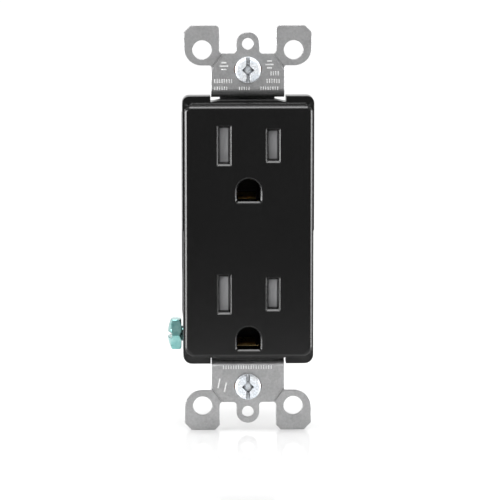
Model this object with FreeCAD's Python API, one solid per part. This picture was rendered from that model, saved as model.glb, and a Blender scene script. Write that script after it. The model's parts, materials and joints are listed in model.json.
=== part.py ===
import FreeCAD, Part
import math
import os

Vector = FreeCAD.Vector

# A duplex wall outlet with a rectangular face, in millimetres.
# Someone facing the outlet has +X to the right and +Z up, and the face looks along -Y.
# The origin is the middle of the mounting strap, on its back plane, which rests on the wall.

# ---- driving sizes ----

# sockets
socket_pitch = 38.86
upper_socket_z = 22.5
blade_spacing = 12.7
ground_drop = 11.85
neutral_slot_height = 9.54
hot_slot_height = 7.94
slot_front_width = 2.9
slot_draft = 0.4
slot_chamfer = 0.48
ground_arch_radius = 3.05
ground_flat_drop = 2.65
ground_foot_round = 0.6

# front cover
face_width = 33.1
face_height = 65.4
face_stand = 8.0
face_wall = 2.2
face_bevel = 0.5
face_corner_top = 1.5
face_corner_bottom = 2.4
ledge_end = 0.55
ledge_inset = 1.75
ledge_stand = 6.2
flange_stand = 4.7
flange_side = 0.6
flange_end = 2.4
flange_corner_top = 1.9
flange_corner_bottom = 2.3
flange_step = 0.15
skirt_side = 0.35
skirt_end = 0.6
skirt_corner = 1.5
cover_wall = 1.6
split_y = 4.0
notch_gap = 0.3
notch_floor = 0.2
hump_rise = 0.6
hump_inset = 0.1
guide_wall = 0.8
guide_depth = 3.3

# mounting strap
strap_gauge = 1.27
flat_length = 16.53
strap_width = 19.05
leg_width = 14.4
spine_width = 7.0
leg_gap = 1.1
bend_radius = 1.0
ear_span = 33.2
ear_gap = 14.8
ear_depth = 10.4
ear_chamfer = 1.8
ear_round = 4.5
ear_tip_round = 1.2
ear_base = 7.3
ear_neck_round = 0.5
ear_hole_side = 4.7
ear_hole_inset = 6.35
ear_hole_radius = 2.5
plate_hole_inset = 4.78
plate_hole_radius = 1.5
plate_tab_radius = 3.0
plate_tab_round = 0.8
box_screw_from_bend = 5.0
box_slot_room = 0.7
box_slot_length = 7.2
score_width = 0.5
score_depth = 0.3
score_top_in = 1.0
score_top_up = 0.4
score_foot_out = 0.3
score_foot_down = 1.3
strap_window = 8.0
strap_window_round = 1.0
strap_border = 2.4
tab_lap = 0.5

# back body
body_back = 22.0
rear_wall = 2.2
rim_drop = 0.9
rim_depth = 3.5
block_drop = 3.5
block_corner = 1.5
jaw_room = 0.7
chamber_margin = 4.3
pocket_room = 1.4
pocket_before = 5.5
pocket_behind = 6.0
ground_chamber_half = 3.2
ground_bay_half = 5.0
leaf_room = 0.9
shank_room = 0.3
head_room = 0.4
latch_width = 5.0
latch_length = 5.5
latch_thick = 1.3
latch_border = 1.5
latch_window = 3.0
latch_hook = 0.8
hook_root = 0.1
gauge_groove_width = 1.6
gauge_groove_depth = 0.6
gauge_groove_half = 8.0

# contacts
contact_gauge = 0.6
jaw_gap = 0.7
jaw_half_height = 3.1
jaw_standoff = 1.45
jaw_back = 10.4
jaw_flare = 0.7
terminal_plate_inset = 5.0
terminal_plate_gauge = 1.0
terminal_plate_margin = 0.5
terminal_plate_room = 1.3
terminal_pad_margin = 0.2
link_width = 3.0
ground_leaf_half = 2.4
ground_leaf_gap = 4.3
ground_leaf_back = 13.0
leaf_entry = 0.9
leaf_lip = 2.0
leaf_flare = 0.8
leaf_root_round = 1.2
leaf_waist_round = 1.0
leaf_back_round = 0.5
ground_frame_reach = 4.2
ground_frame_width = 10.0
ground_spine_width = 5.2

# terminals
terminal_y = 12.0
terminal_offset_upper = 9.0
terminal_offset_lower = 8.85
terminal_head_radius = 4.0
terminal_head_height = 2.3
terminal_open = 2.2
terminal_shank_radius = 2.0
terminal_shank_length = 6.5
ground_screw_y = 8.5
ground_tab_half = 4.3
ground_tab_reach = 5.0
ground_tab_inset = 1.3
hex_flats = 7.9
hex_height = 3.6
hex_stand = 1.7
hex_dome = 1.2
hex_foot = 0.5
hex_slot_width = 1.3
hex_slot_depth = 1.1
ground_shank_radius = 2.35
ground_shank_length = 8.0
wire_hole_radius = 1.1
wire_hole_inset = 2.2
wire_lead_in = 0.5
release_slot_width = 1.2
release_slot_height = 3.2
clamp_gauge = 0.4
clamp_half_width = 1.6
clamp_fold = 1.4
clamp_round = 0.8
clamp_clear = 1.6
clamp_bite_drop = 2.6
clamp_slant = 0.2

# mounting screws and their retainers
mounting_shank_radius = 1.75
mounting_screw_length = 24.6
mounting_head_radius = 3.4
mounting_head_height = 1.9
mounting_neck_relief = 0.3
mounting_neck_length = 4.6
retainer_side = 7.8
retainer_thick = 0.8
retainer_round = 0.8
retainer_y = 1.5

# screw forms, as shares of the head's radius and height and of the shank's radius
head_round_share = 0.45
point_share = 0.4
recess_slot_share = 0.3
recess_slot_depth = 0.4
recess_square_share = 0.68
recess_square_depth = 0.65

# assembly screws and rivets
assembly_inset = 2.2
assembly_shank_radius = 1.5
assembly_shank_length = 10.9
assembly_head_radius = 2.5
assembly_head_height = 1.7
assembly_boss_wall = 0.75
rivet_radius = 1.0
rivet_head_radius = 1.7
rivet_head_height = 0.5
rivet_offset = 3.05

# shutters
shutter_travel = 2.6
slider_thick = 2.5
slider_rail = 0.43
slider_left_end = 1.05
slider_right_end = 2.1
shutter_window = 2.4
ramp_depth = 1.9
tray_thick = 1.1
tray_rail = 0.8
tray_room = 0.8
tray_wall = 0.6
lug_radius = 1.5
lug_x = 10.0
lug_lap = 0.05
post_radius = 0.9
stake_height = 0.4
spring_radius = 0.85
spring_wire = 0.3
spring_turns = 3.5
spigot_length = 0.8
spigot_radius = 0.5

# clearances
running = 0.05
sliding = 0.15
slip = 0.1

# ---- places worked out from them ----

face_y = -face_stand
wall_y = face_y + face_wall
flange_y = -flange_stand
half_face_x = face_width / 2
half_face_z = face_height / 2
flange_half_x = half_face_x + flange_side
flange_half_z = half_face_z + flange_end
skirt_half_x = half_face_x + skirt_side
skirt_half_z = half_face_z + skirt_end
cavity_half_x = skirt_half_x - cover_wall
cavity_half_z = skirt_half_z - cover_wall

leg_inner_z = skirt_half_z + leg_gap
leg_outer_z = leg_inner_z + strap_gauge
bend_outer = bend_radius + strap_gauge
flat_start_z = leg_outer_z + bend_radius
plate_front = split_y
plate_back = split_y + strap_gauge
strip_back = plate_back + contact_gauge
strap_half_z = flat_start_z + flat_length
ear_hole_x = ear_span / 2 - ear_hole_side
ear_hole_z = strap_half_z - ear_hole_inset
plate_hole_z = strap_half_z - plate_hole_inset

lower_socket_z = upper_socket_z - socket_pitch
socket_zs = {"upper": upper_socket_z, "lower": lower_socket_z}
blade_x = blade_spacing / 2
ground_zs = {name: z - ground_drop for name, z in socket_zs.items()}
terminal_zs = {"upper": upper_socket_z - terminal_offset_upper,
               "lower": lower_socket_z + terminal_offset_lower}
box_screw_z = flat_start_z + box_screw_from_bend
box_screw_zs = {"upper": box_screw_z, "lower": -box_screw_z}
box_slot_width = 2 * mounting_shank_radius + box_slot_room
mounting_neck_radius = mounting_shank_radius - mounting_neck_relief

chamber_back = body_back - rear_wall
chamber_top = upper_socket_z + chamber_margin
chamber_bottom = lower_socket_z - chamber_margin
chamber_inner = blade_x - jaw_gap / 2 - contact_gauge - jaw_room
ground_bay_back = ground_leaf_back + leaf_room + cover_wall
pocket_reach = terminal_head_radius + pocket_room
pocket_front = terminal_y - pocket_before
pocket_back = terminal_y + pocket_behind
terminal_reach = pocket_reach + terminal_pad_margin
terminal_plate_x = skirt_half_x - terminal_plate_inset
terminal_plate_front = pocket_front - terminal_plate_margin
terminal_plate_back = chamber_back - terminal_plate_room
wire_hole_x = terminal_plate_x - wire_hole_inset
ground_tab_x = skirt_half_x - ground_tab_inset
ground_tab_back = ground_screw_y + ground_tab_reach
ground_screw_z = ground_tab_half - skirt_half_z
corner_inner = ground_tab_x + hex_stand - ground_shank_length - shank_room
head_seat_y = split_y + rim_depth

slider_front = wall_y + sliding
slider_back = slider_front + slider_thick
slider_left = -blade_x - shutter_travel - shutter_window / 2 - slider_left_end
slider_right = blade_x + slot_front_width / 2 + slider_right_end
slider_half_height = neutral_slot_height / 2 + slider_rail
tray_front = slider_back + slip
tray_back = tray_front + tray_thick
tray_left = slider_left - slip - tray_rail
tray_right = cavity_half_x - tray_room
tray_half_height = slider_half_height + sliding + tray_rail
lug_offset = tray_half_height + lug_radius - lug_lap
jaw_front = tray_back + jaw_standoff
spring_y = (slider_front + slider_back) / 2
spring_seat_x = tray_right - tray_wall

guide_bottom = ground_zs["upper"] - ground_flat_drop - guide_wall
lower_tray_top = lower_socket_z + tray_half_height
assembly_zs = (skirt_half_z - assembly_inset, (guide_bottom + lower_tray_top) / 2)
rivet_reach = ground_frame_reach + rivet_offset
rivet_zs = (ground_zs["upper"] - rivet_reach, ground_zs["lower"] + rivet_reach)
far = 60.0


# ---- shapes ----

def placed(point, axis, level):
    """A plane point put in space, on the plane across the axis at that level."""
    if axis == "x":
        return Vector(level, point.x, point.y)
    if axis == "y":
        return Vector(point.x, level, point.y)
    return Vector(point.x, point.y, level)


def rounded_corner(before, corner, after):
    """Start, middle and end of the arc that rounds a corner, or the corner alone if it is sharp."""
    point = Vector(corner[0], corner[1], 0)
    if len(corner) < 3:
        return [point]
    radius = corner[2]
    to_before = (Vector(before[0], before[1], 0) - point).normalize()
    to_after = (Vector(after[0], after[1], 0) - point).normalize()
    half_angle = to_before.getAngle(to_after) / 2
    inward = (to_before + to_after).normalize()
    along = radius / math.tan(half_angle)
    middle = point + inward * (radius / math.sin(half_angle) - radius)
    return [point + to_before * along, middle, point + to_after * along]


def outline(corners, axis, level):
    """Closed wire through (u, v) corners, each rounded where it gives a third number, its radius."""
    turns = []
    for i, corner in enumerate(corners):
        after = corners[(i + 1) % len(corners)]
        turn = rounded_corner(corners[i - 1], corner, after)
        turns.append([placed(point, axis, level) for point in turn])
    edges = []
    for i, turn in enumerate(turns):
        if len(turn) == 3:
            edges.append(Part.Arc(*turn).toShape())
        start = turn[-1]
        end = turns[(i + 1) % len(turns)][0]
        if start.distanceToPoint(end) > 1e-6:
            edges.append(Part.LineSegment(start, end).toShape())
    return Part.Wire(edges)


def prism(corners, axis, low, high):
    """Solid with the corners' outline across the axis, from low to high along it."""
    along = placed(Vector(0, 0, 0), axis, high - low)
    return Part.Face(outline(corners, axis, low)).extrude(along)


def taper(front, back, front_y, back_y):
    """Solid between an outline at front_y and one with as many corners at back_y."""
    return Part.makeLoft([outline(front, "y", front_y), outline(back, "y", back_y)], True)


def block(xs, ys, zs):
    """Box between two values along each axis."""
    low = Vector(xs[0], ys[0], zs[0])
    return Part.makeBox(xs[1] - xs[0], ys[1] - ys[0], zs[1] - zs[0], low)


def rod(axis, u, v, radius, low, high):
    """Cylinder along the axis, through (u, v) on the plane across it."""
    start = placed(Vector(u, v, 0), axis, low)
    return Part.makeCylinder(radius, high - low, start, placed(Vector(0, 0, 0), axis, 1))


def rectangle(half_u, half_v, radius, centre=(0, 0)):
    """Corners of a rectangle about a centre, rounded to the radius."""
    signs = ((-1, -1), (1, -1), (1, 1), (-1, 1))
    return [(centre[0] + su * half_u, centre[1] + sv * half_v, radius) for su, sv in signs]


def sharp_rectangle(half_u, half_v, centre=(0, 0)):
    """Corners of a rectangle about a centre, left sharp."""
    return [corner[:2] for corner in rectangle(half_u, half_v, 0, centre)]


def stroke(start, end, width):
    """Corners of a straight bar of a width from start to end."""
    along = Vector(end[0] - start[0], end[1] - start[1], 0).normalize()
    side = Vector(-along.y, along.x, 0) * (width / 2)
    first = Vector(start[0], start[1], 0)
    last = Vector(end[0], end[1], 0)
    points = (first - side, last - side, last + side, first + side)
    return [(point.x, point.y) for point in points]


def join(shapes):
    """One solid from pieces that touch."""
    return shapes[0].multiFuse(shapes[1:]).removeSplitter()


def mirror_x(shape):
    """The same shape on the other side of the middle."""
    return shape.mirror(Vector(0, 0, 0), Vector(1, 0, 0))


def mirror_z(shape):
    """The same shape at the other end."""
    return shape.mirror(Vector(0, 0, 0), Vector(0, 0, 1))


def aimed(shape, at, direction):
    """A shape drawn up its own +Z, moved to a place and aimed along a direction."""
    turned = shape.copy()
    turned.Placement = FreeCAD.Placement(at, FreeCAD.Rotation(Vector(0, 0, 1), direction))
    return turned


# ---- mounting strap ----

def ear_plate(tip_corners):
    """One flat end of the strap, drawn at the top: two ears and the tab between them."""
    half_gap = ear_gap / 2
    half_span = ear_span / 2
    base_z = strap_half_z - ear_base
    right = [(strap_width / 2, flat_start_z),
             (strap_width / 2, strap_half_z - ear_depth, ear_neck_round),
             (half_span, strap_half_z - ear_depth, ear_round),
             (half_span, strap_half_z - ear_chamfer),
             (half_span - ear_chamfer, strap_half_z)]
    right += tip_corners
    right += [(half_gap, base_z, plate_tab_round),
              (plate_tab_radius, base_z, plate_tab_round),
              (plate_tab_radius, plate_hole_z + plate_tab_radius, plate_tab_radius)]
    left = [(-corner[0],) + tuple(corner[1:]) for corner in reversed(right)]
    plate = prism(right + left, "y", -strap_gauge, 0)
    cuts = [rod("y", 0, plate_hole_z, plate_hole_radius, -strap_gauge, 0),
            prism(rectangle(box_slot_length / 2, box_slot_width / 2, box_slot_width / 2,
                            (0, box_screw_z)), "y", -strap_gauge, 0)]
    score = [(half_gap - score_top_in, base_z + score_top_up),
             (strap_width / 2 + score_foot_out, strap_half_z - ear_depth - score_foot_down)]
    for side in (-1, 1):
        cuts.append(rod("y", side * ear_hole_x, ear_hole_z, ear_hole_radius, -strap_gauge, 0))
        line = stroke(*[(side * x, z) for x, z in score], score_width)
        cuts.append(prism(line, "y", -strap_gauge, score_depth - strap_gauge))
        cuts.append(prism(line, "y", -score_depth, 0))
    return plate.cut(cuts)


def strap_legs():
    """The two bends and the leg at each end, narrowing as they go back."""
    half_length = strap_half_z
    side_view = [(-strap_gauge, half_length), (-strap_gauge, leg_inner_z, bend_outer),
                 (plate_front, leg_inner_z, bend_radius), (plate_front, -leg_inner_z, bend_radius),
                 (-strap_gauge, -leg_inner_z, bend_outer), (-strap_gauge, -half_length),
                 (0, -half_length), (0, -leg_outer_z, bend_radius),
                 (plate_back, -leg_outer_z, bend_outer), (plate_back, leg_outer_z, bend_outer),
                 (0, leg_outer_z, bend_radius), (0, half_length)]
    sheet = prism(side_view, "x", -strap_width / 2, strap_width / 2)
    wide = strap_width / 2
    narrow = leg_width / 2
    narrow_y = plate_front - bend_radius
    top_view = [(-wide, -strap_gauge), (wide, -strap_gauge), (wide, bend_radius), (narrow, narrow_y),
                (narrow, plate_back), (-narrow, plate_back), (-narrow, narrow_y), (-wide, bend_radius)]
    keep = prism(top_view, "z", leg_inner_z - bend_radius, flat_start_z)
    upper = sheet.common(keep)
    return [upper, mirror_z(upper)]


def strap_middle():
    """The plate between cover and body, with a window for each ground pin."""
    end_z = leg_inner_z - bend_radius
    ys = (plate_front, plate_back)
    half_leg = leg_width / 2
    half_spine = spine_width / 2
    half_window = strap_window / 2
    half_frame = half_window + strap_border
    head_z = assembly_zs[0] - half_spine
    plates = [block((-half_spine, half_spine), ys, (-end_z, end_z)),
              block((-half_leg, half_leg), ys, (head_z, end_z)),
              block((-half_leg, half_leg), ys, (-end_z, ground_zs["lower"] + half_frame)),
              block((-half_frame, half_frame), ys,
                    (ground_zs["upper"] - half_frame, ground_zs["upper"] + half_frame))]
    cuts = [prism(rectangle(half_window, half_window, strap_window_round, (0, z)), "y", *ys)
            for z in ground_zs.values()]
    cuts += [rod("y", 0, z, assembly_shank_radius + sliding, *ys) for z in assembly_zs]
    cuts += [rod("y", 0, z, rivet_radius, *ys) for z in rivet_zs]
    return join(plates).cut(cuts)


def ground_tab():
    """The arm that leaves the strap's plate at the lower left and turns back for the ground screw."""
    inner_x = -ground_tab_x + strap_gauge
    start_x = tab_lap - leg_width / 2
    top_view = [(start_x, plate_front), (-ground_tab_x, plate_front, bend_outer),
                (-ground_tab_x, ground_tab_back), (inner_x, ground_tab_back),
                (inner_x, plate_back, bend_radius), (start_x, plate_back)]
    tab = prism(top_view, "z", ground_screw_z - ground_tab_half, ground_screw_z + ground_tab_half)
    hole = rod("x", ground_screw_y, ground_screw_z, ground_shank_radius + running, -far, 0)
    return tab.cut(hole)


def mounting_strap():
    """Galvanised steel strap: two eared ends, two legs, the middle plate and the ground tab."""
    half_gap = ear_gap / 2
    rounded_tip = [(half_gap, strap_half_z, ear_tip_round)]
    cut_tip = [(half_gap + ear_tip_round, strap_half_z), (half_gap, strap_half_z - ear_tip_round)]
    ends = [ear_plate(rounded_tip), mirror_z(ear_plate(cut_tip))]
    return join(ends + strap_legs() + [strap_middle(), ground_tab()])


# ---- front cover ----

def flange_outline():
    """The flange around the face, with a notch at each end where the strap leaves."""
    notch_x = strap_width / 2 + notch_gap
    floor_z = skirt_half_z + notch_floor
    hump_z = floor_z + hump_rise
    hump_x = leg_width / 2 - hump_inset
    lower_x = flange_half_x - flange_step
    top = [(flange_half_x, flange_half_z, flange_corner_top), (notch_x, flange_half_z), (notch_x, floor_z),
           (hump_x, hump_z), (-hump_x, hump_z), (-notch_x, floor_z), (-notch_x, flange_half_z),
           (-flange_half_x, flange_half_z, flange_corner_top)]
    bottom = [(-x, -z) for x, z in top[1:-1]]
    left = [(-flange_half_x, 0), (-lower_x, 0), (-lower_x, -flange_half_z, flange_corner_bottom)]
    right = [(lower_x, -flange_half_z, flange_corner_bottom), (lower_x, 0), (flange_half_x, 0)]
    return top + left + bottom + right


def blade_slot(side, z, height):
    """A blade slot: a chamfered mouth and a hole that narrows behind it."""
    half_x = slot_front_width / 2
    half_z = height / 2
    at = (side * blade_x, z)
    chamfer_y = face_y + slot_chamfer
    mouth = taper(sharp_rectangle(half_x + slot_chamfer, half_z + slot_chamfer, at),
                  sharp_rectangle(half_x, half_z, at), face_y, chamfer_y)
    hole = taper(sharp_rectangle(half_x, half_z, at),
                 sharp_rectangle(half_x - slot_draft, half_z - slot_draft, at), chamfer_y, wall_y)
    return [mouth, hole]


def ground_outline(z, grow):
    """The ground hole's outline, an arch with a flat below it, larger all round by grow."""
    half = ground_arch_radius + grow
    low = z - ground_flat_drop - grow
    return [(-half, low, ground_foot_round), (half, low, ground_foot_round),
            (half, z + half, half), (-half, z + half, half)]


def ground_hole(z):
    """A ground pin's hole: a chamfered mouth and a straight guide."""
    chamfer_y = face_y + slot_chamfer
    mouth = taper(ground_outline(z, slot_chamfer), ground_outline(z, 0), face_y, chamfer_y)
    hole = prism(ground_outline(z, 0), "y", chamfer_y, wall_y + guide_depth)
    return [mouth, hole]


def tray_lugs(socket_z):
    """Places of the two lugs that hold a shutter tray, on opposite corners."""
    return [(-lug_x, socket_z + lug_offset), (lug_x, socket_z - lug_offset)]


def latch(side, socket_z):
    """An arm on the cover's side that reaches over the body, with a window for its hook."""
    low_x, high_x = sorted((side * skirt_half_x, side * (skirt_half_x - latch_thick)))
    half = latch_width / 2
    arm = block((low_x, high_x), (split_y - cover_wall, split_y + latch_length),
                (socket_z - half, socket_z + half))
    half_window = latch_window / 2
    window = block((low_x, high_x), (split_y + latch_border, split_y + latch_length - latch_border),
                   (socket_z - half_window, socket_z + half_window))
    return arm.cut(window)


def front_cover():
    """Black cover: bevelled face, flange, skirt, socket holes and the posts and bosses inside."""
    corners = [(-half_face_x, -half_face_z, face_corner_bottom),
               (half_face_x, -half_face_z, face_corner_bottom),
               (half_face_x, half_face_z, face_corner_top),
               (-half_face_x, half_face_z, face_corner_top)]
    face = prism(corners, "y", face_y, 0)
    front_edges = [edge for edge in face.Edges
                   if all(abs(vertex.Y - face_y) < 1e-6 for vertex in edge.Vertexes)]
    face = face.makeChamfer(face_bevel, front_edges)
    flange = prism(flange_outline(), "y", flange_y, 0)
    skirt = prism(rectangle(skirt_half_x, skirt_half_z, skirt_corner), "y", flange_y, split_y)
    ledge_half_x = half_face_x - ledge_inset
    ledge_half_z = half_face_z + ledge_end
    ledge = block((-ledge_half_x, ledge_half_x), (-ledge_stand, 0), (-ledge_half_z, ledge_half_z))
    cavity = block((-cavity_half_x, cavity_half_x), (wall_y, split_y), (-cavity_half_z, cavity_half_z))
    shell = join([face, ledge, flange, skirt]).cut(cavity)
    inside = []
    holes = []
    for name, z in socket_zs.items():
        ground_z = ground_zs[name]
        inside.append(prism(ground_outline(ground_z, guide_wall), "y", wall_y, wall_y + guide_depth))
        for x, lug_z in tray_lugs(z):
            inside.append(rod("y", x, lug_z, post_radius, wall_y, tray_back))
            inside.append(rod("y", x, lug_z, lug_radius, tray_back, tray_back + stake_height))
        inside += [latch(side, z) for side in (-1, 1)]
        holes += blade_slot(-1, z, neutral_slot_height)
        holes += blade_slot(1, z, hot_slot_height)
        holes += ground_hole(ground_z)
    bottom_y = head_seat_y - assembly_shank_length - sliding
    for z in assembly_zs:
        inside.append(rod("y", 0, z, assembly_shank_radius + assembly_boss_wall, wall_y, split_y))
        holes.append(rod("y", 0, z, assembly_shank_radius + running, bottom_y, split_y))
    return join([shell] + inside).cut(holes)


# ---- back body ----

def body_blank():
    """The body before it is hollowed: main block, front rim, lower ground bay and upper screw lug."""
    main_half_z = skirt_half_z - block_drop
    rim_half_z = skirt_half_z - rim_drop
    end_z = skirt_half_z - slip
    main = prism(rectangle(skirt_half_x, main_half_z, block_corner), "y", split_y, body_back)
    rim = prism(rectangle(skirt_half_x, rim_half_z, skirt_corner), "y", split_y, head_seat_y)
    half_bay = ground_bay_half
    bay = block((-half_bay, half_bay), (plate_back, ground_bay_back), (-end_z, -main_half_z))
    lug = block((-half_bay, half_bay), (plate_back, head_seat_y), (main_half_z, end_z))
    return join([main, rim, bay, lug])


def contact_chamber(side):
    """Room for one contact bar, open to the front, and its two terminal pockets."""
    low_x, high_x = sorted((side * chamber_inner, side * terminal_plate_x))
    rooms = [block((low_x, high_x), (split_y, chamber_back), (chamber_bottom, chamber_top))]
    low_x, high_x = sorted((side * terminal_plate_x, side * far))
    for z in terminal_zs.values():
        rooms.append(block((low_x, high_x), (pocket_front, pocket_back),
                           (z - pocket_reach, z + pocket_reach)))
    return rooms


def strap_recess():
    """Room for the strap's middle plate, the ground strip, its leaves and the rivet heads."""
    half_plate = leg_width / 2 + sliding
    half_spine = ground_spine_width / 2 + sliding
    half_frame = ground_frame_width / 2 + sliding
    reach = ground_frame_reach + sliding
    rooms = [block((-half_plate, half_plate), (split_y, plate_back), (-far, far)),
             block((-half_spine, half_spine), (plate_back, strip_back),
                   (ground_zs["lower"], ground_zs["upper"]))]
    for z in ground_zs.values():
        rooms.append(block((-half_frame, half_frame), (plate_back, strip_back), (z - reach, z + reach)))
        rooms.append(block((-ground_chamber_half, ground_chamber_half),
                           (plate_back, ground_bay_back - cover_wall), (z - reach, z + reach)))
    for z in rivet_zs:
        rooms.append(rod("y", 0, z, rivet_head_radius + sliding, plate_back,
                         strip_back + rivet_head_height + sliding))
    return rooms


def ground_corner():
    """The lower left corner, left open for the ground tab and its screw."""
    top = ground_screw_z + ground_tab_half + sliding
    return [block((-far, -corner_inner), (split_y, body_back), (-far, top)),
            block((-corner_inner, 0), (split_y, plate_back), (-far, top))]


def wire_entries():
    """The push-in wire holes in the rear wall, and a release slot beside each."""
    cuts = []
    for z in socket_zs.values():
        for side in (-1, 1):
            x = side * wire_hole_x
            cuts.append(rod("y", x, z, wire_hole_radius, chamber_back, body_back))
            cuts.append(Part.makeCone(wire_hole_radius, wire_hole_radius + wire_lead_in, wire_lead_in,
                                      Vector(x, body_back - wire_lead_in, z), Vector(0, 1, 0)))
            slot_x = side * (wire_hole_x - wire_hole_radius - release_slot_width)
            cuts.append(block((slot_x - release_slot_width / 2, slot_x + release_slot_width / 2),
                              (chamber_back, body_back),
                              (z - release_slot_height / 2, z + release_slot_height / 2)))
    return cuts


def latch_seats():
    """The body's side recesses for the cover's latch arms."""
    seats = []
    half = latch_width / 2 + sliding
    for z in socket_zs.values():
        for side in (-1, 1):
            low_x, high_x = sorted((side * (skirt_half_x - latch_thick - slip), side * far))
            seats.append(block((low_x, high_x), (split_y, split_y + latch_length + sliding),
                               (z - half, z + half)))
    return seats


def latch_hooks():
    """The body's hooks, which stand in the latch arms' windows and slope on their front."""
    hooks = []
    half = latch_window / 2 - sliding
    front = split_y + latch_border + sliding
    back = split_y + latch_length - latch_border - sliding
    root_x = skirt_half_x - latch_thick - slip
    for z in socket_zs.values():
        hook = prism([(root_x - hook_root, front), (root_x, front), (root_x + latch_hook, back),
                      (root_x - hook_root, back)], "z", z - half, z + half)
        hooks += [hook, mirror_x(hook)]
    return hooks


def back_body():
    """Black rear housing, hollowed for the contacts and open at its sides for the terminals."""
    cuts = strap_recess() + wire_entries() + latch_seats() + ground_corner()
    for side in (-1, 1):
        cuts += contact_chamber(side)
    for z in assembly_zs:
        cuts.append(rod("y", 0, z, assembly_shank_radius + sliding, split_y, head_seat_y))
        cuts.append(rod("y", 0, z, assembly_head_radius + head_room, head_seat_y, body_back))
    gauge_z = (upper_socket_z + lower_socket_z) / 2
    cuts.append(block((blade_x, blade_x + gauge_groove_width),
                      (body_back - gauge_groove_depth, body_back),
                      (gauge_z - gauge_groove_half, gauge_z + gauge_groove_half)))
    hollow = body_blank().cut(cuts)
    return join([hollow] + latch_hooks())


# ---- contacts ----

def blade_jaw(z):
    """The pair of leaves that grips a blade on the hot side, flared at the mouth."""
    inner = jaw_gap / 2
    outer = inner + contact_gauge
    straight_y = jaw_front + jaw_flare
    web_y = jaw_back - contact_gauge
    half = [(inner + jaw_flare, jaw_front), (inner, straight_y), (inner, web_y)]
    back = [(outer, jaw_back), (outer, straight_y), (outer + jaw_flare, jaw_front)]
    right = [(blade_x + x, y) for x, y in half]
    left = [(blade_x - x, y) for x, y in reversed(half)]
    right_back = [(blade_x + x, y) for x, y in reversed(back)]
    left_back = [(blade_x - x, y) for x, y in back]
    corners = right + left + list(reversed(left_back)) + list(reversed(right_back))
    return prism(corners, "z", z - jaw_half_height, z + jaw_half_height)


def terminal_plate():
    """The side plate on the hot side: a pad at each socket and the narrow break-off link."""
    xs = (terminal_plate_x - terminal_plate_gauge, terminal_plate_x)
    ys = (terminal_plate_front, terminal_plate_back)
    upper_low = terminal_zs["upper"] - terminal_reach
    lower_high = terminal_zs["lower"] + terminal_reach
    upper = block(xs, ys, (upper_low, upper_socket_z + jaw_half_height))
    lower = block(xs, ys, (lower_socket_z - jaw_half_height, lower_high))
    link = block(xs, (terminal_y - link_width / 2, terminal_y + link_width / 2), (lower_high, upper_low))
    middle_z = (lower_high + upper_low) / 2
    score = rod("x", terminal_y, middle_z, link_width / 4, *xs)
    holes = [rod("x", terminal_y, z, terminal_shank_radius + running, *xs) for z in terminal_zs.values()]
    return join([upper, lower, link]).cut(holes + [score])


def contact_bar():
    """The hot side's brass bar: side plate, two arms and two jaws."""
    pieces = [terminal_plate()]
    for z in socket_zs.values():
        pieces.append(blade_jaw(z))
        arm_start = blade_x + jaw_gap / 2 + contact_gauge
        pieces.append(block((arm_start, terminal_plate_x - terminal_plate_gauge),
                            (jaw_back - contact_gauge, jaw_back),
                            (z - jaw_half_height, z + jaw_half_height)))
    return join(pieces)


def ground_leaf(z, side):
    """A leaf above or below a ground pin: it curves back from the strip, closes in and flares."""
    gap = ground_leaf_gap / 2
    root = ground_frame_reach
    entry = gap + leaf_entry
    end = gap + leaf_flare
    waist_y = ground_leaf_back - leaf_lip
    face = [(plate_back, root), (plate_back, entry, leaf_root_round), (waist_y, gap, leaf_waist_round),
            (ground_leaf_back, end)]
    back = [(ground_leaf_back, end + contact_gauge), (waist_y, gap + contact_gauge, leaf_waist_round),
            (strip_back, entry + contact_gauge, leaf_back_round), (strip_back, root)]
    corners = [(corner[0], z + side * corner[1]) + tuple(corner[2:]) for corner in face + back]
    return prism(corners, "x", -ground_leaf_half, ground_leaf_half)


def ground_contact_strip():
    """Brass strip behind the strap, with a frame and two leaves at each ground hole."""
    ys = (plate_back, strip_back)
    half_spine = ground_spine_width / 2
    half_frame = ground_frame_width / 2
    pieces = [block((-half_spine, half_spine), ys,
                    (ground_zs["lower"] + ground_frame_reach, ground_zs["upper"] - ground_frame_reach))]
    window_half = ground_frame_reach - contact_gauge
    for z in ground_zs.values():
        frame = block((-half_frame, half_frame), ys, (z - ground_frame_reach, z + ground_frame_reach))
        window = block((-strap_window / 2, strap_window / 2), ys, (z - window_half, z + window_half))
        pieces.append(frame.cut(window))
        pieces += [ground_leaf(z, side) for side in (-1, 1)]
    holes = [rod("y", 0, z, rivet_radius, *ys) for z in rivet_zs]
    holes.append(rod("y", 0, assembly_zs[1], assembly_shank_radius + sliding, *ys))
    return join(pieces).cut(holes)


def ground_rivet(z):
    """A rivet that holds the ground strip to the strap."""
    shank = rod("y", 0, z, rivet_radius, plate_front, strip_back)
    front = rod("y", 0, z, rivet_head_radius, plate_front - rivet_head_height, plate_front)
    back = rod("y", 0, z, rivet_head_radius, strip_back, strip_back + rivet_head_height)
    return join([front, shank, back])


def push_in_clamp(z):
    """A folded steel leaf on the hot side that bites a wire pushed in from the back."""
    root_x = chamber_inner + running
    inner_x = root_x + clamp_gauge
    tip_x = wire_hole_x - wire_hole_radius
    top_y = chamber_back - slip
    front_y = jaw_back + clamp_clear
    tip_y = front_y + clamp_bite_drop
    fold_x = root_x + clamp_fold
    under_y = top_y - clamp_gauge
    inner_round = clamp_round - clamp_gauge
    corners = [(root_x, front_y), (root_x, top_y, clamp_round), (fold_x, top_y, clamp_round),
               (tip_x, tip_y), (tip_x - clamp_gauge, tip_y - clamp_slant),
               (fold_x - clamp_slant, under_y, inner_round), (inner_x, under_y, inner_round),
               (inner_x, front_y)]
    return prism(corners, "z", z - clamp_half_width, z + clamp_half_width)


# ---- screws ----

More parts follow.
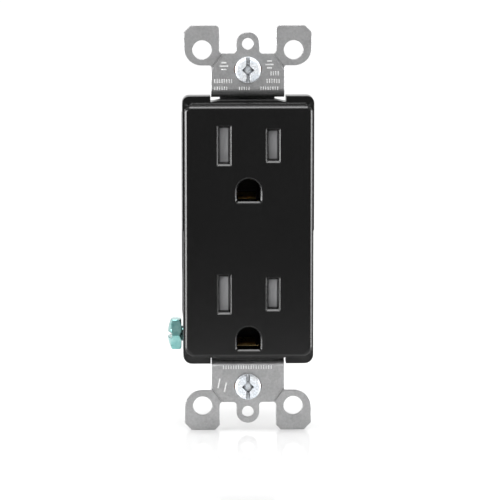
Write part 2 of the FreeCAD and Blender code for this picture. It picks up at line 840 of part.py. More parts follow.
def driver_recess(radius, height):
    """Cuts for a screw head's slot and the deeper square set cornerwise at its middle."""
    half_slot = recess_slot_share * radius / 2
    slot = Part.makeBox(2 * half_slot, 3 * radius, height,
                        Vector(-half_slot, -1.5 * radius, (1 - recess_slot_depth) * height))
    half_square = recess_square_share * radius / 2
    square = Part.makeBox(2 * half_square, 2 * half_square, height,
                          Vector(-half_square, -half_square, (1 - recess_square_depth) * height))
    square.rotate(Vector(0, 0, 0), Vector(0, 0, 1), 45)
    return [slot, square]


def pan_screw(head_radius, head_height, shank_radius, shank_length):
    """A screw drawn with its head up +Z and the underside of the head at zero."""
    head = Part.makeCylinder(head_radius, head_height)
    top_edges = [edge for edge in head.Edges
                 if all(abs(vertex.Z - head_height) < 1e-6 for vertex in edge.Vertexes)]
    head = head.makeFillet(head_round_share * head_height, top_edges)
    point = point_share * shank_radius
    shank = Part.makeCylinder(shank_radius, shank_length - point, Vector(0, 0, point - shank_length))
    tip = Part.makeCone(shank_radius - point, shank_radius, point, Vector(0, 0, -shank_length))
    return join([head, shank, tip]).cut(driver_recess(head_radius, head_height))


def mounting_screw(z):
    """The screw that fixes the outlet to the wall box, with its head on the strap."""
    screw = pan_screw(mounting_head_radius, mounting_head_height, mounting_shank_radius,
                      mounting_screw_length)
    neck_start = Vector(0, 0, -mounting_neck_length)
    relief = Part.makeCylinder(mounting_head_radius, mounting_neck_length, neck_start)
    relief = relief.cut(Part.makeCylinder(mounting_neck_radius, mounting_neck_length, neck_start))
    return aimed(screw.cut(relief), Vector(0, -strap_gauge, z), Vector(0, -1, 0))


def screw_retainer(z):
    """The square washer that keeps a mounting screw in the strap."""
    corners = rectangle(retainer_side / 2, retainer_side / 2, retainer_round, (0, z))
    square = prism(corners, "y", retainer_y, retainer_y + retainer_thick)
    return square.cut(rod("y", 0, z, mounting_neck_radius + running, -far, far))


def terminal_screw(side, z):
    """A side terminal screw, backed out to take a wire under its head."""
    screw = pan_screw(terminal_head_radius, terminal_head_height, terminal_shank_radius,
                      terminal_shank_length)
    at = Vector(side * (terminal_plate_x + terminal_open), terminal_y, z)
    return aimed(screw, at, Vector(side, 0, 0))


def ground_terminal_screw():
    """The hexagon head ground screw at the lower left, backed out to take a wire."""
    corner_radius = hex_flats / math.sqrt(3)
    angles = [math.radians(90 + 60 * i) for i in range(6)]
    corners = [(corner_radius * math.cos(a), corner_radius * math.sin(a)) for a in angles]
    dome_radius = (corner_radius ** 2 + hex_dome ** 2) / (2 * hex_dome)
    dome = Part.makeSphere(dome_radius, Vector(0, 0, hex_height - dome_radius))
    foot_radius = corner_radius - hex_foot
    foot = Part.makeCone(foot_radius, foot_radius + hex_height, hex_height)
    head = prism(corners, "z", 0, hex_height).common(dome).common(foot)
    shank = Part.makeCylinder(ground_shank_radius, ground_shank_length, Vector(0, 0, -ground_shank_length))
    slot = Part.makeBox(hex_slot_width, 3 * corner_radius, hex_height,
                        Vector(-hex_slot_width / 2, -1.5 * corner_radius, hex_height - hex_slot_depth))
    screw = join([head, shank]).cut(slot)
    return aimed(screw, Vector(-ground_tab_x - hex_stand, ground_screw_y, ground_screw_z), Vector(-1, 0, 0))


def assembly_screw(z):
    """A screw from the back that draws the body and the cover together over the strap."""
    screw = pan_screw(assembly_head_radius, assembly_head_height, assembly_shank_radius,
                      assembly_shank_length)
    return aimed(screw, Vector(0, head_seat_y, z), Vector(0, 1, 0))


# ---- shutters ----

def shutter_slider(z):
    """The grey plate behind a socket's two blade slots, with a ramp and a window for each."""
    plate = block((slider_left, slider_right), (slider_front, slider_back),
                  (z - slider_half_height, z + slider_half_height))
    cuts = []
    for side in (-1, 1):
        window_x = side * blade_x - shutter_travel
        right = window_x + shutter_window / 2
        half_z = neutral_slot_height / 2
        zs = (z - half_z, z + half_z)
        cuts.append(block((right - shutter_window, right), (slider_front, slider_back), zs))
        ramp_end = side * blade_x + slot_front_width / 2
        cuts.append(prism([(right, slider_front), (ramp_end, slider_front),
                           (right, slider_front + ramp_depth)], "z", *zs))
    spigot = rod("x", spring_y, z, spigot_radius, slider_right, slider_right + spigot_length)
    return join([plate.cut(cuts), spigot])


def shutter_tray(z):
    """The frame behind a slider: back plate, two rails, two ends and two staked lugs."""
    half = tray_half_height
    ys = (wall_y, tray_front)
    back = block((tray_left, tray_right), (tray_front, tray_back), (z - half, z + half))
    rails = [block((tray_left, tray_right), ys, (z + half - tray_rail, z + half)),
             block((tray_left, tray_right), ys, (z - half, z - half + tray_rail)),
             block((tray_left, tray_left + tray_rail), ys, (z - half, z + half)),
             block((spring_seat_x, tray_right), ys, (z - half, z + half))]
    lugs = [rod("y", x, lug_z, lug_radius, tray_front, tray_back) for x, lug_z in tray_lugs(z)]
    cuts = [rod("y", x, lug_z, post_radius + running, tray_front, tray_back)
            for x, lug_z in tray_lugs(z)]
    for side in (-1, 1):
        half_x = slot_front_width / 2
        half_z = neutral_slot_height / 2
        cuts.append(block((side * blade_x - half_x, side * blade_x + half_x), (tray_front, tray_back),
                          (z - half_z, z + half_z)))
    return join([back] + rails + lugs).cut(cuts)


def shutter_spring(z):
    """The coil that pushes a slider back over its slots, between the slider and the tray's end."""
    wire_radius = spring_wire / 2
    length = spring_seat_x - slider_right - 2 * wire_radius
    path = Part.makeHelix(length / spring_turns, length, spring_radius)
    section = Part.Wire(Part.makeCircle(wire_radius, Vector(spring_radius, 0, 0), Vector(0, 1, 0)))
    coil = Part.Wire(path).makePipeShell([section], True, True)
    return aimed(coil, Vector(slider_right + wire_radius, spring_y, z), Vector(1, 0, 0))


# ---- write the nodes ----

def save(name, *shapes):
    """Write one node's solids to its own file."""
    solids = [solid for shape in shapes for solid in shape.Solids]
    shape = solids[0] if len(solids) == 1 else Part.makeCompound(solids)
    shape.exportStep("parts/" + name + ".step")


def main():
    os.makedirs("parts", exist_ok=True)
    save("front_cover", front_cover())
    save("back_body", back_body())
    save("mounting_strap", mounting_strap())
    save("ground_contact_strip", ground_contact_strip())
    save("ground_rivets", *[ground_rivet(z) for z in rivet_zs])
    hot_bar = contact_bar()
    save("hot_contact_bar", hot_bar)
    save("neutral_contact_bar", mirror_x(hot_bar))
    save("assembly_screws", *[assembly_screw(z) for z in assembly_zs])
    save("ground_terminal_screw", ground_terminal_screw())
    for name, z in box_screw_zs.items():
        save("mounting_screw_" + name, mounting_screw(z))
        save("screw_retainer_" + name, screw_retainer(z))
    for name, z in terminal_zs.items():
        save("hot_terminal_screw_" + name, terminal_screw(1, z))
        save("neutral_terminal_screw_" + name, terminal_screw(-1, z))
    for name, z in socket_zs.items():
        save("shutter_slider_" + name, shutter_slider(z))
        save("shutter_tray_" + name, shutter_tray(z))
        save("shutter_spring_" + name, shutter_spring(z))
        clamp = push_in_clamp(z)
        save("hot_wire_clamp_" + name, clamp)
        save("neutral_wire_clamp_" + name, mirror_x(clamp))


main()
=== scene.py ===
import json
import math

import bmesh
import bpy
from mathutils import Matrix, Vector


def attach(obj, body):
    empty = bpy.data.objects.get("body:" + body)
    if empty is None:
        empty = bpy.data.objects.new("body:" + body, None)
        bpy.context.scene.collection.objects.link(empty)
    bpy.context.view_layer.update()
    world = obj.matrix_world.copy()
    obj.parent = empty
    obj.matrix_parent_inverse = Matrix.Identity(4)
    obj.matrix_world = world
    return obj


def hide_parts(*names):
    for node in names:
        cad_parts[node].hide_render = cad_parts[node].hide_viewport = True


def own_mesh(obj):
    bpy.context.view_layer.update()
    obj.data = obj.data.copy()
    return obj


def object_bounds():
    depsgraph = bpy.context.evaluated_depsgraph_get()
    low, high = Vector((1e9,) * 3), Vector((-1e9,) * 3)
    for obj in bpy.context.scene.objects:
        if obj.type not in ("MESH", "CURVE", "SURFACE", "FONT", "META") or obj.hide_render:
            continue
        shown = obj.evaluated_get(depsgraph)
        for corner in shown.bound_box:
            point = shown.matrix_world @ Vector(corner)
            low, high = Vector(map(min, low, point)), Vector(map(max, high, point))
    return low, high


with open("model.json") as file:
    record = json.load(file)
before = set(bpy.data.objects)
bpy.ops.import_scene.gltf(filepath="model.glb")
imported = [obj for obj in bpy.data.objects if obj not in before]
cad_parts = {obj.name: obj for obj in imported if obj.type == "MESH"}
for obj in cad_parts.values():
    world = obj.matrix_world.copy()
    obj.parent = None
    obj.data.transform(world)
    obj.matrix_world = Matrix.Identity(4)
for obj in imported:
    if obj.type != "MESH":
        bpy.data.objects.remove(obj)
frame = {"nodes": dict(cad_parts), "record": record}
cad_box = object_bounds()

# A duplex wall outlet with a rectangular face, standing on its strap's lower ears.
# Metres. Someone facing the outlet looks along +Y, with +X to the right and +Z up.

MM = 0.001
record = frame["record"]
node_slots = {part["node"]: part["material_slot"] for part in record["subparts"]}
body_nodes = record["behaviour"]["bodies"]
node_bodies = {node: body for body, nodes in body_nodes.items() for node in nodes}
ENDS = ("upper", "lower")
SIDES = ("hot", "neutral")

# places and sizes of the CAD model, in millimetres
SOCKET_Z = {"upper": 22.5, "lower": -16.36}
TERMINAL_Z = {"upper": 13.5, "lower": -7.51}
TERMINAL_SEAT_X = 14.1
TERMINAL_Y = 12.0
BOX_SCREW_Z = {"upper": 41.67, "lower": -41.67}
ASSEMBLY_Z = (31.1, -1.505)
ASSEMBLY_SEAT_Y = 7.5
GROUND_SCREW_SEAT = (-17.3, 8.5, -29.0)
STRAP_FRONT = -1.27
SPRING_Y = -4.4
SPRING_ENDS = (9.9, 13.9)

# screw threads, in millimetres
FINE_PITCH = 0.794
COARSE_PITCH = 1.2
FINE_DEPTH = 0.3
DEEP_DEPTH = 0.35
THREAD_START = 0.3

# the colour inputs and the result of a colour mix node
MIX_FIRST = 6
MIX_SECOND = 7
MIX_RESULT = 2


# ---- material building blocks ----

class Look:
    """One procedural material and the few things it is built from."""

    def __init__(self, name, **sockets):
        self.material = bpy.data.materials.new(name)
        self.material.use_nodes = True
        self.tree = self.material.node_tree
        self.shader = self.tree.nodes["Principled BSDF"]
        self.place = self.node("ShaderNodeTexCoord").outputs["Object"]
        for socket, value in sockets.items():
            self.shader.inputs[socket.replace("_", " ")].default_value = value

    def node(self, kind, **inputs):
        made = self.tree.nodes.new(kind)
        for socket, value in inputs.items():
            made.inputs[socket.replace("_", " ")].default_value = value
        return made

    def link(self, output, target):
        self.tree.links.new(output, target)

    def stretched(self, scale):
        """Object coordinates stretched by a scale along each axis."""
        mapping = self.node("ShaderNodeMapping")
        mapping.inputs["Scale"].default_value = scale
        self.link(self.place, mapping.inputs["Vector"])
        return mapping.outputs["Vector"]

    def noise(self, scale, detail=4.0, roughness=0.6, place=None):
        made = self.node("ShaderNodeTexNoise", Scale=scale, Detail=detail, Roughness=roughness)
        self.link(place or self.place, made.inputs["Vector"])
        return made.outputs["Fac"]

    def cells(self, scale):
        """A random grey for each crystal, from 0 to 1."""
        made = self.node("ShaderNodeTexVoronoi", Scale=scale, Randomness=1.0)
        self.link(self.place, made.inputs["Vector"])
        split = self.node("ShaderNodeSeparateColor")
        self.link(made.outputs["Color"], split.inputs["Color"])
        return split.outputs["Red"]

    def ramp(self, value, stops):
        """A colour for a value, from (value, colour) stops."""
        made = self.node("ShaderNodeValToRGB")
        elements = made.color_ramp.elements
        while len(elements) < len(stops):
            elements.new(0.5)
        for element, (at, colour) in zip(elements, stops):
            element.position = at
            element.color = (*colour, 1.0)
        self.link(value, made.inputs["Fac"])
        return made.outputs["Color"]

    def span(self, value, low, high, low_in=0.3, high_in=0.7):
        """A value moved to run from low to high."""
        made = self.node("ShaderNodeMapRange")
        made.inputs["From Min"].default_value = low_in
        made.inputs["From Max"].default_value = high_in
        made.inputs["To Min"].default_value = low
        made.inputs["To Max"].default_value = high
        self.link(value, made.inputs["Value"])
        return made.outputs["Result"]

    def feed(self, value, target):
        """Gives an input an output to follow, a plain colour or a plain number."""
        if isinstance(value, bpy.types.NodeSocket):
            self.link(value, target)
        elif isinstance(value, tuple):
            target.default_value = (*value, 1.0)
        else:
            target.default_value = value

    def mix(self, first, second, share):
        """Two colours mixed by a share. Each of the three is an output or a plain value."""
        made = self.node("ShaderNodeMix")
        made.data_type = "RGBA"
        self.feed(share, made.inputs["Factor"])
        self.feed(first, made.inputs[MIX_FIRST])
        self.feed(second, made.inputs[MIX_SECOND])
        return made.outputs[MIX_RESULT]

    def depth(self):
        """The object coordinate along Y."""
        split = self.node("ShaderNodeSeparateXYZ")
        self.link(self.place, split.inputs["Vector"])
        return split.outputs["Y"]

    def occlusion_shaded(self, clean, recess_shade, reach=1.2 * MM, hidden=0.45, open_air=0.85):
        """A clean colour, with painted shade in its corners and recesses where ambient occlusion finds them.
        """
        occlusion = self.node("ShaderNodeAmbientOcclusion", Distance=reach).outputs["AO"]
        return self.mix(recess_shade, clean, self.span(occlusion, 0.0, 1.0, hidden, open_air))

    def shaded_behind_strap(self, front, back, fade=0.5 * MM):
        """A colour in front of the strap's back plane, and a darker one behind it as painted shade."""
        return self.mix(front, back, self.span(self.depth(), 0.0, 1.0, 0.0, fade))

    def colour(self, output):
        self.link(output, self.shader.inputs["Base Color"])

    def roughness(self, output):
        self.link(output, self.shader.inputs["Roughness"])

    def bump(self, *layers, edge=0.0):
        """Surface relief from (height, strength, distance) layers, over edges rounded to a radius."""
        normal = None
        if edge:
            rounded = self.node("ShaderNodeBevel", Radius=edge)
            rounded.samples = 6
            normal = rounded.outputs["Normal"]
        for height, strength, distance in layers:
            made = self.node("ShaderNodeBump", Strength=strength, Distance=distance)
            self.link(height, made.inputs["Height"])
            if normal:
                self.link(normal, made.inputs["Normal"])
            normal = made.outputs["Normal"]
        self.link(normal, self.shader.inputs["Normal"])


def grey(value):
    return (value, value, value)


# ---- materials ----

# how much of a metal's own colour its recesses keep in their painted shade
RECESS_SHADE_SHARE = 0.08


def moulded_plastic(name, dark, light, smooth, rough, grain, edge=0.0):
    """Moulded thermoplastic: a fine spark texture and faint flow marks."""
    look = Look(name, IOR=1.42)
    flow = look.noise(60.0, 3.0, place=look.stretched((1.0, 1.0, 0.35)))
    look.colour(look.ramp(flow, [(0.3, dark), (0.7, light)]))
    look.roughness(look.span(look.noise(900.0, 3.0), smooth, rough))
    look.bump((look.noise(5200.0, 2.0), grain, 0.00002), (flow, 0.05, 0.0002), edge=edge)
    return look.material


def galvanised_steel():
    """Rolled steel with a fine zinc coat: mottled grey with soft crystals."""
    look = Look("galvanised_steel", Metallic=0.85)
    mottle = look.noise(1500.0, 5.0, 0.7)
    speckle = look.ramp(mottle, [(0.3, (0.32, 0.32, 0.323)), (0.7, (0.54, 0.54, 0.543))])
    crystal = look.ramp(look.cells(420.0), [(0.0, (0.38, 0.38, 0.383)), (1.0, (0.49, 0.49, 0.493))])
    look.colour(look.mix(speckle, crystal, 0.45))
    look.roughness(look.span(look.noise(700.0, 4.0), 0.34, 0.52))
    look.bump((mottle, 0.25, 0.00004), (look.noise(90.0, 2.0), 0.1, 0.0002))
    return look.material


def plated(name, dark, light, smooth, rough, metallic=1.0, shank=None):
    """Plated metal: a bright coat with faint clouding, with painted shade in its recesses and, where a shank
    colour is given, painted shade along its shank behind the strap.
    """
    look = Look(name, Metallic=metallic)
    cloud = look.noise(450.0, 4.0)
    recess_shade = tuple(RECESS_SHADE_SHARE * value for value in dark)
    coat = look.ramp(cloud, [(0.3, dark), (0.7, light)])
    # painted shade: the coat turns to the shank colour behind the strap's back plane
    if shank:
        coat = look.shaded_behind_strap(coat, shank)
    # painted shade: recesses and corners darkened by ambient occlusion
    look.colour(look.occlusion_shaded(coat, recess_shade))
    look.roughness(look.span(look.noise(1300.0, 3.0), smooth, rough))
    look.bump((look.noise(2600.0, 4.0), 0.12, 0.00003), (cloud, 0.06, 0.0001))
    return look.material


def rolled_brass():
    """Brass strip with rolling lines and a little tarnish."""
    look = Look("brass", Metallic=1.0)
    tarnish = look.noise(260.0, 5.0, 0.65)
    look.colour(look.ramp(tarnish, [(0.3, (0.56, 0.39, 0.16)), (0.7, (0.83, 0.63, 0.31))]))
    lines = look.noise(700.0, 3.0, place=look.stretched((1.0, 1.0, 0.06)))
    look.roughness(look.span(lines, 0.24, 0.42))
    look.bump((lines, 0.15, 0.00004))
    return look.material


def pressed_fibre():
    """Pressed fibre board: reddish brown with short fibres."""
    look = Look("fibre")
    strands = look.noise(2200.0, 6.0, 0.8, place=look.stretched((1.0, 1.0, 0.3)))
    look.colour(look.ramp(strands, [(0.3, (0.24, 0.09, 0.035)), (0.7, (0.46, 0.20, 0.09))]))
    look.roughness(look.span(strands, 0.7, 0.9))
    look.bump((strands, 0.5, 0.00006))
    return look.material


def stamped_steel():
    """The raised marks, lighter than the strap."""
    look = Look("stamped_steel", Metallic=0.3)
    mark_noise = look.noise(2400.0, 3.0)
    look.colour(look.ramp(mark_noise, [(0.3, grey(0.75)), (0.7, grey(0.95))]))
    look.roughness(look.span(mark_noise, 0.35, 0.5))
    look.bump((mark_noise, 0.2, 0.00003))
    return look.material


def make_materials():
    """One material for each of the record's slots."""
    return {
        "black_plastic": moulded_plastic("black_plastic", grey(0.0020), grey(0.0032), 0.22, 0.26, 0.008),
        "housing_plastic": moulded_plastic("housing_plastic", grey(0.008), grey(0.013), 0.42, 0.55, 0.20,
                                           edge=0.15 * MM),
        "grey_plastic": moulded_plastic("grey_plastic", (0.58, 0.58, 0.59), (0.66, 0.66, 0.675),
                                        0.42, 0.55, 0.20),
        "galvanised_steel": galvanised_steel(),
        # the zinc's shank colour is painted shade for its threads behind the strap
        "zinc_plate": plated("zinc_plate", (0.84, 0.90, 0.97), (0.96, 0.98, 1.0), 0.20, 0.34,
                             metallic=0.25, shank=(0.30, 0.32, 0.34)),
        "nickel_plate": plated("nickel_plate", (0.62, 0.61, 0.58), (0.80, 0.79, 0.76), 0.20, 0.34),
        "brass_plate": plated("brass_plate", (0.70, 0.53, 0.24), (0.88, 0.70, 0.38), 0.20, 0.34),
        "green_plate": plated("green_plate", (0.20, 0.50, 0.48), (0.42, 0.70, 0.68), 0.08, 0.18),
        "spring_steel": plated("spring_steel", (0.46, 0.46, 0.48), (0.66, 0.66, 0.68), 0.22, 0.36),
        "brass": rolled_brass(),
        "fibre": pressed_fibre(),
    }


materials = make_materials()


# ---- pieces ----

FLAT = math.radians(0.6)
SHARP = math.radians(28.0)
MERGE = 0.002 * MM
TINY_EDGE = 0.004 * MM
JOINED_NODES = ("front_cover", "ground_contact_strip", "ground_terminal_screw")


def add_piece(name, mesh, node):
    """A new piece that stands for a CAD node and takes its body, slot and material."""
    piece = bpy.data.objects.new(name, mesh)
    bpy.context.scene.collection.objects.link(piece)
    slot = node_slots[node]
    mesh.materials.clear()
    mesh.materials.append(materials[slot])
    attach(piece, node_bodies[node])
    return piece


def mesh_of(name, points, faces):
    """A mesh from points in millimetres and faces."""
    mesh = bpy.data.meshes.new(name)
    mesh.from_pydata([Vector(point) * MM for point in points], [], faces)
    return mesh


def clean_copy(node, shanks):
    """A CAD node's mesh with its flat faces whole again and its shanks cut down to the thread's root."""
    source = frame["nodes"][node]
    mesh = source.data.copy()
    mesh.transform(source.matrix_world)
    shape = bmesh.new()
    shape.from_mesh(mesh)
    bmesh.ops.remove_doubles(shape, verts=shape.verts, dist=MERGE)
    bmesh.ops.dissolve_degenerate(shape, edges=shape.edges, dist=TINY_EDGE)
    if node in JOINED_NODES:
        bmesh.ops.join_triangles(shape, faces=shape.faces, angle_face_threshold=FLAT,
                                 angle_shape_threshold=math.pi)
    else:
        bmesh.ops.dissolve_limit(shape, angle_limit=FLAT, verts=shape.verts, edges=shape.edges)
    for shank in shanks:
        shank.cut_down(shape)
    for face in shape.faces:
        face.smooth = True
    plain = bpy.data.meshes.new(node)
    shape.to_mesh(plain)
    shape.free()
    return plain


def round_edges(piece, width):
    """Rounds a piece's sharp edges as moulding, stamping or tumbling leaves them."""
    piece.data.set_sharp_from_angle(angle=SHARP)
    bevel = piece.modifiers.new("rounding", "BEVEL")
    bevel.width = width
    bevel.segments = 2
    bevel.limit_method = "ANGLE"
    bevel.angle_limit = SHARP
    bevel.use_clamp_overlap = False
    weigh = piece.modifiers.new("flat_faces", "WEIGHTED_NORMAL")
    weigh.weight = 100
    weigh.keep_sharp = True


def rounded_node(node, width):
    """The CAD node's own shape with rounded edges, in its place."""
    shanks = [shank for shank in SHANKS if shank.node == node]
    piece = add_piece(node + "_finished", clean_copy(node, shanks), node)
    round_edges(piece, width)
    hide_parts(node)


class Shank:
    """A screw's threaded shank, in millimetres from the middle of its head's seat along its length."""

    seat_slack = 0.01
    radius_slack = 0.03
    root_overlap = 1.1
    half_ridge = 0.42
    thread_edge = math.radians(40)

    def __init__(self, node, seat, along, radius, start, end, depth, pitch):
        self.node = node
        self.seat = Vector(seat)
        self.along = Vector(along)
        self.radius = radius
        self.start = start
        self.end = end
        self.depth = depth
        self.pitch = pitch

    def cut_down(self, shape):
        """Draws the shank in to the root of its thread."""
        for vert in shape.verts:
            offset = vert.co / MM - self.seat
            reach = offset.dot(self.along)
            radial = offset - self.along * reach
            if reach > -self.seat_slack and abs(radial.length - self.radius) < self.radius_slack:
                radial *= 1 - self.depth / self.radius
                vert.co = (self.seat + self.along * reach + radial) * MM

    def thread(self, steps=32):
        """A helical ridge with a V section, running out at both ends."""
        up = Vector((0, 0, 1))
        side = self.along.cross(up)
        count = int((self.end - self.start) / self.pitch * steps)
        base = self.radius - self.depth * self.root_overlap
        points = []
        for i in range(count + 1):
            angle = 2 * math.pi * i / steps
            out = up * math.cos(angle) + side * math.sin(angle)
            middle = self.seat + self.along * (self.start + self.pitch * i / steps)
            grown = min(1.0, 2 * i / steps, 2 * (count - i) / steps)
            crest = base + (self.radius - base) * grown
            half = self.along * (self.half_ridge * self.pitch)
            points += [middle - half + out * base, middle + out * crest, middle + half + out * base]
        faces = []
        for i in range(count):
            first = 3 * i
            faces += [(first, first + 1, first + 4, first + 3), (first + 1, first + 2, first + 5, first + 4)]
        piece = add_piece(self.node + "_thread", mesh_of(self.node, points, faces), self.node)
        piece.data.shade_smooth()
        piece.data.set_sharp_from_angle(angle=self.thread_edge)
        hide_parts(self.node)


SHANKS = [Shank("ground_terminal_screw", GROUND_SCREW_SEAT, (1, 0, 0), radius=2.35,
                start=THREAD_START, end=7.8, depth=DEEP_DEPTH, pitch=FINE_PITCH)]
for z in ASSEMBLY_Z:
    SHANKS.append(Shank("assembly_screws", (0, ASSEMBLY_SEAT_Y, z), (0, -1, 0), radius=1.5,
                        start=THREAD_START, end=10.2, depth=DEEP_DEPTH, pitch=COARSE_PITCH))
for end in ENDS:
    SHANKS.append(Shank("mounting_screw_" + end, (0, STRAP_FRONT, BOX_SCREW_Z[end]), (0, 1, 0),
                        radius=1.75, start=4.8, end=23.7, depth=FINE_DEPTH, pitch=FINE_PITCH))
    for side, sign in zip(SIDES, (1, -1)):
        seat = (sign * TERMINAL_SEAT_X, TERMINAL_Y, TERMINAL_Z[end])
        SHANKS.append(Shank(side + "_terminal_screw_" + end, seat, (-sign, 0, 0), radius=2.0,
                            start=THREAD_START, end=5.6, depth=DEEP_DEPTH, pitch=FINE_PITCH))

# the width of each node's rounded edges, in millimetres
EDGE_WIDTHS = {
    "front_cover": 0.10, "mounting_strap": 0.10, "ground_contact_strip": 0.05,
    "hot_contact_bar": 0.06, "neutral_contact_bar": 0.06, "ground_rivets": 0.12,
    "ground_terminal_screw": 0.14, "assembly_screws": 0.08,
}
for end in ENDS:
    EDGE_WIDTHS["shutter_slider_" + end] = 0.06
    EDGE_WIDTHS["shutter_tray_" + end] = 0.06
    EDGE_WIDTHS["mounting_screw_" + end] = 0.08
    EDGE_WIDTHS["screw_retainer_" + end] = 0.06
    for side in SIDES:
        EDGE_WIDTHS[side + "_terminal_screw_" + end] = 0.08
        EDGE_WIDTHS[side + "_wire_clamp_" + end] = 0.05

for node, width in EDGE_WIDTHS.items():
    rounded_node(node, width * MM)

housing = frame["nodes"]["back_body"].data
housing.materials.clear()
housing.materials.append(materials["housing_plastic"])

for shank in SHANKS:
    shank.thread()


def coil_spring(end, turns=3.5, radius=0.85, wire=0.15, steps=24, ring=10):
    """A round wire coil between a slider and its tray's end."""
    start, stop = SPRING_ENDS
    z = SOCKET_Z[end]
    count = int(turns * steps)
    points = []
    for i in range(count + 1):
        angle = 2 * math.pi * i / steps
        out = Vector((0, math.cos(angle), math.sin(angle)))
        x = start + wire + (stop - start - 2 * wire) * i / count
        middle = Vector((x, SPRING_Y, z)) + out * radius
        for j in range(ring):
            turn = 2 * math.pi * j / ring
            points.append(middle + out * (wire * math.cos(turn)) + Vector((wire * math.sin(turn), 0, 0)))
    faces = [tuple(range(ring)), tuple(range(count * ring + ring - 1, count * ring - 1, -1))]
    for i in range(count):
        for j in range(ring):
            first = i * ring + j
            after = i * ring + (j + 1) % ring
            faces.append((first, first + ring, after + ring, after))
    node = "shutter_spring_" + end
    piece = add_piece(node + "_coil", mesh_of(node, points, faces), node)
    piece.data.shade_smooth()
    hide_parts(node)
    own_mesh(piece)


for end in ENDS:
    coil_spring(end)


# ---- stamped marks ----

# sizes and places on the strap's front, in millimetres
BAR_WIDTH = 0.4
BAR_LENGTH = 2.2
BAR_SPACING = 0.9
BAR_GROUPS = ((-6.2, 42.6), (5.6, 43.0))
SLANT_LENGTH = 2.6
SLANT_TURN = 78
SLANTS = ((-7.6, -40.9), (-5.9, -41.9))
TICK_WIDTH = 0.34
TICK_PITCH = 0.62
# rows of (first x, z, count, height, pitch)
TICK_ROWS = (
    (6.0, 40.7, 4, 1.1, TICK_PITCH), (5.0, 38.7, 6, 1.1, TICK_PITCH), (-8.6, 38.7, 8, 1.1, TICK_PITCH),
    (-8.6, 36.8, 6, 0.9, TICK_PITCH), (-2.2, 36.8, 5, 0.9, TICK_PITCH), (3.4, 36.8, 8, 0.9, TICK_PITCH),
    (-6.4, -36.6, 20, 1.0, 0.66),
)


def bar_mesh(bars, sunk=0.02, height=0.08, chamfer=0.06):
    """Low raised bars on the strap's front, from (x, z, length, width, turn in degrees) rows."""
    points = []
    faces = []
    for x, z, length, width, turn in bars:
        first = len(points)
        angle = math.radians(turn)
        along = Vector((math.cos(angle), 0, math.sin(angle)))
        across = Vector((-math.sin(angle), 0, math.cos(angle)))
        for y, inset in ((sunk, 0.0), (-height, chamfer)):
            middle = Vector((x, STRAP_FRONT + y, z))
            for u, v in ((-1, -1), (1, -1), (1, 1), (-1, 1)):
                offset = along * (u * (length / 2 - inset)) + across * (v * (width / 2 - inset))
                points.append(middle + offset)
        faces.append(tuple(first + i for i in (4, 5, 6, 7)))
        faces += [tuple(first + i for i in (i, (i + 1) % 4, 4 + (i + 1) % 4, 4 + i)) for i in range(4)]
    return mesh_of("strap_marks", points, faces)


def tick_row(x, z, count, height, pitch):
    """A row of upright ticks that starts at x."""
    return [(x + i * pitch, z, height, TICK_WIDTH, 90) for i in range(count)]


def add_marks():
    """Plain bars and ticks stamped in the strap's two ends."""
    bars = []
    for x, z in BAR_GROUPS:
        for rise in (-BAR_SPACING, 0.0, BAR_SPACING):
            bars.append((x, z + rise, BAR_LENGTH - abs(rise), BAR_WIDTH, 0))
    for row in TICK_ROWS:
        bars += tick_row(*row)
    for x, z in SLANTS:
        bars.append((x, z, SLANT_LENGTH, BAR_WIDTH, SLANT_TURN))
    piece = add_piece("strap_marks", bar_mesh(bars), "mounting_strap")
    piece.data.materials.clear()
    piece.data.materials.append(stamped_steel())


add_marks()


# ---- studio ----

# lengths in metres and power in watts; the rest are plain strengths
FLOOR_GAP = 0.02 * MM
FLOOR_HALF_X = 1.0
FLOOR_Y = (-0.15, 1.4)
GLOW = (0.10, 0.18)
GLOW_REACH = (0.03, 0.14)
WORLD_SEEN = 1.05
WORLD_LIT = (0.24, 1.0)
WORLD_FADE = (-1.0, 0.2)
# rows of (name, place, width, height, power), each aimed at the outlet's middle
SOFTBOXES = (
    ("left_strip", (-0.55, -0.05, 0.02), 0.25, 0.3, 4.2),
    ("right_strip", (0.55, -0.05, 0.02), 0.25, 0.3, 3.0),
    ("top_box", (0, -0.1, 0.6), 0.3, 0.25, 2.2),
    ("front_box", (0, -1.2, 0.42), 0.5, 0.3, 2.5),
)


def add_floor():
    """A pale floor under the lower ears, which the eye sees glow more with distance."""
    floor_z = cad_box[0][2] - FLOOR_GAP
    near, far = FLOOR_Y
    corners = [(-FLOOR_HALF_X, near), (FLOOR_HALF_X, near), (FLOOR_HALF_X, far), (-FLOOR_HALF_X, far)]
    mesh = bpy.data.meshes.new("floor")
    mesh.from_pydata([(x, y, floor_z) for x, y in corners], [], [(0, 1, 2, 3)])
    floor = bpy.data.objects.new("floor", mesh)
    bpy.context.scene.collection.objects.link(floor)
    look = Look("floor", Roughness=0.06)
    look.feed(grey(0.75), look.shader.inputs["Base Color"])
    away = look.node("ShaderNodeMath")
    away.operation = "ABSOLUTE"
    look.link(look.depth(), away.inputs[0])
    seen = look.node("ShaderNodeMath")
    seen.operation = "MULTIPLY"
    look.link(look.span(away.outputs[0], *GLOW, *GLOW_REACH), seen.inputs[1])
    look.link(look.node("ShaderNodeLightPath").outputs["Is Camera Ray"], seen.inputs[0])
    look.link(seen.outputs[0], look.shader.inputs["Emission Strength"])
    look.feed(grey(1.0), look.shader.inputs["Emission Color"])
    floor.data.materials.append(look.material)


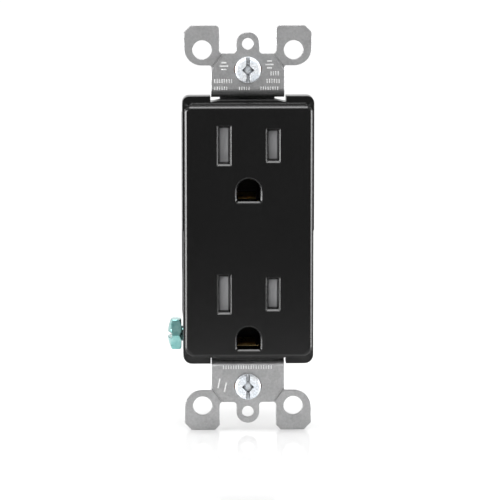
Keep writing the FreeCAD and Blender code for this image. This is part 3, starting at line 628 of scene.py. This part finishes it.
def add_world():
    """White all round for the eye, and dimmer in front of the outlet for what it reflects."""
    world = bpy.data.worlds.new("studio")
    bpy.context.scene.world = world
    world.use_nodes = True
    tree = world.node_tree
    nodes = tree.nodes
    link = tree.links.new
    split = nodes.new("ShaderNodeSeparateXYZ")
    link(nodes.new("ShaderNodeTexCoord").outputs["Generated"], split.inputs["Vector"])
    ramp = nodes.new("ShaderNodeMapRange")
    ramp.inputs["From Min"].default_value, ramp.inputs["From Max"].default_value = WORLD_FADE
    ramp.inputs["To Min"].default_value, ramp.inputs["To Max"].default_value = WORLD_LIT
    link(split.outputs["Y"], ramp.inputs["Value"])
    seen = nodes.new("ShaderNodeBackground")
    seen.inputs["Strength"].default_value = WORLD_SEEN
    seen.inputs["Color"].default_value = (1, 1, 1, 1)
    lit = nodes.new("ShaderNodeBackground")
    link(ramp.outputs["Result"], lit.inputs["Strength"])
    lit.inputs["Color"].default_value = (1, 1, 1, 1)
    mix = nodes.new("ShaderNodeMixShader")
    link(nodes.new("ShaderNodeLightPath").outputs["Is Camera Ray"], mix.inputs["Fac"])
    link(lit.outputs["Background"], mix.inputs[1])
    link(seen.outputs["Background"], mix.inputs[2])
    link(mix.outputs["Shader"], nodes["World Output"].inputs["Surface"])


def add_softbox(name, place, width, height, power):
    """A rectangular light aimed at the outlet's middle."""
    light = bpy.data.lights.new(name, "AREA")
    light.shape = "RECTANGLE"
    light.size = width
    light.size_y = height
    light.energy = power
    box = bpy.data.objects.new(name, light)
    box.location = place
    box.rotation_euler = (-Vector(place)).to_track_quat("-Z", "Y").to_euler()
    box.visible_camera = False
    bpy.context.scene.collection.objects.link(box)


def add_camera():
    """A long lens, a little above the outlet and a little to its left."""
    elevation = math.radians(7.5)
    azimuth = math.radians(-2.0)
    distance = 0.97
    aim = Vector((0.6 * MM, 0.0, -5.75 * MM))
    away = Vector((math.sin(azimuth) * math.cos(elevation), -math.cos(azimuth) * math.cos(elevation),
                   math.sin(elevation)))
    data = bpy.data.cameras.new("camera")
    data.lens = 266.7
    data.sensor_width = 36.0
    data.clip_start = 0.01
    camera = bpy.data.objects.new("camera", data)
    camera.location = aim + away * distance
    camera.rotation_euler = (-away).to_track_quat("-Z", "Y").to_euler()
    bpy.context.scene.collection.objects.link(camera)
    bpy.context.scene.camera = camera


add_floor()
add_world()
for softbox in SOFTBOXES:
    add_softbox(*softbox)
add_camera()
bpy.context.scene.view_settings.view_transform = "Standard"
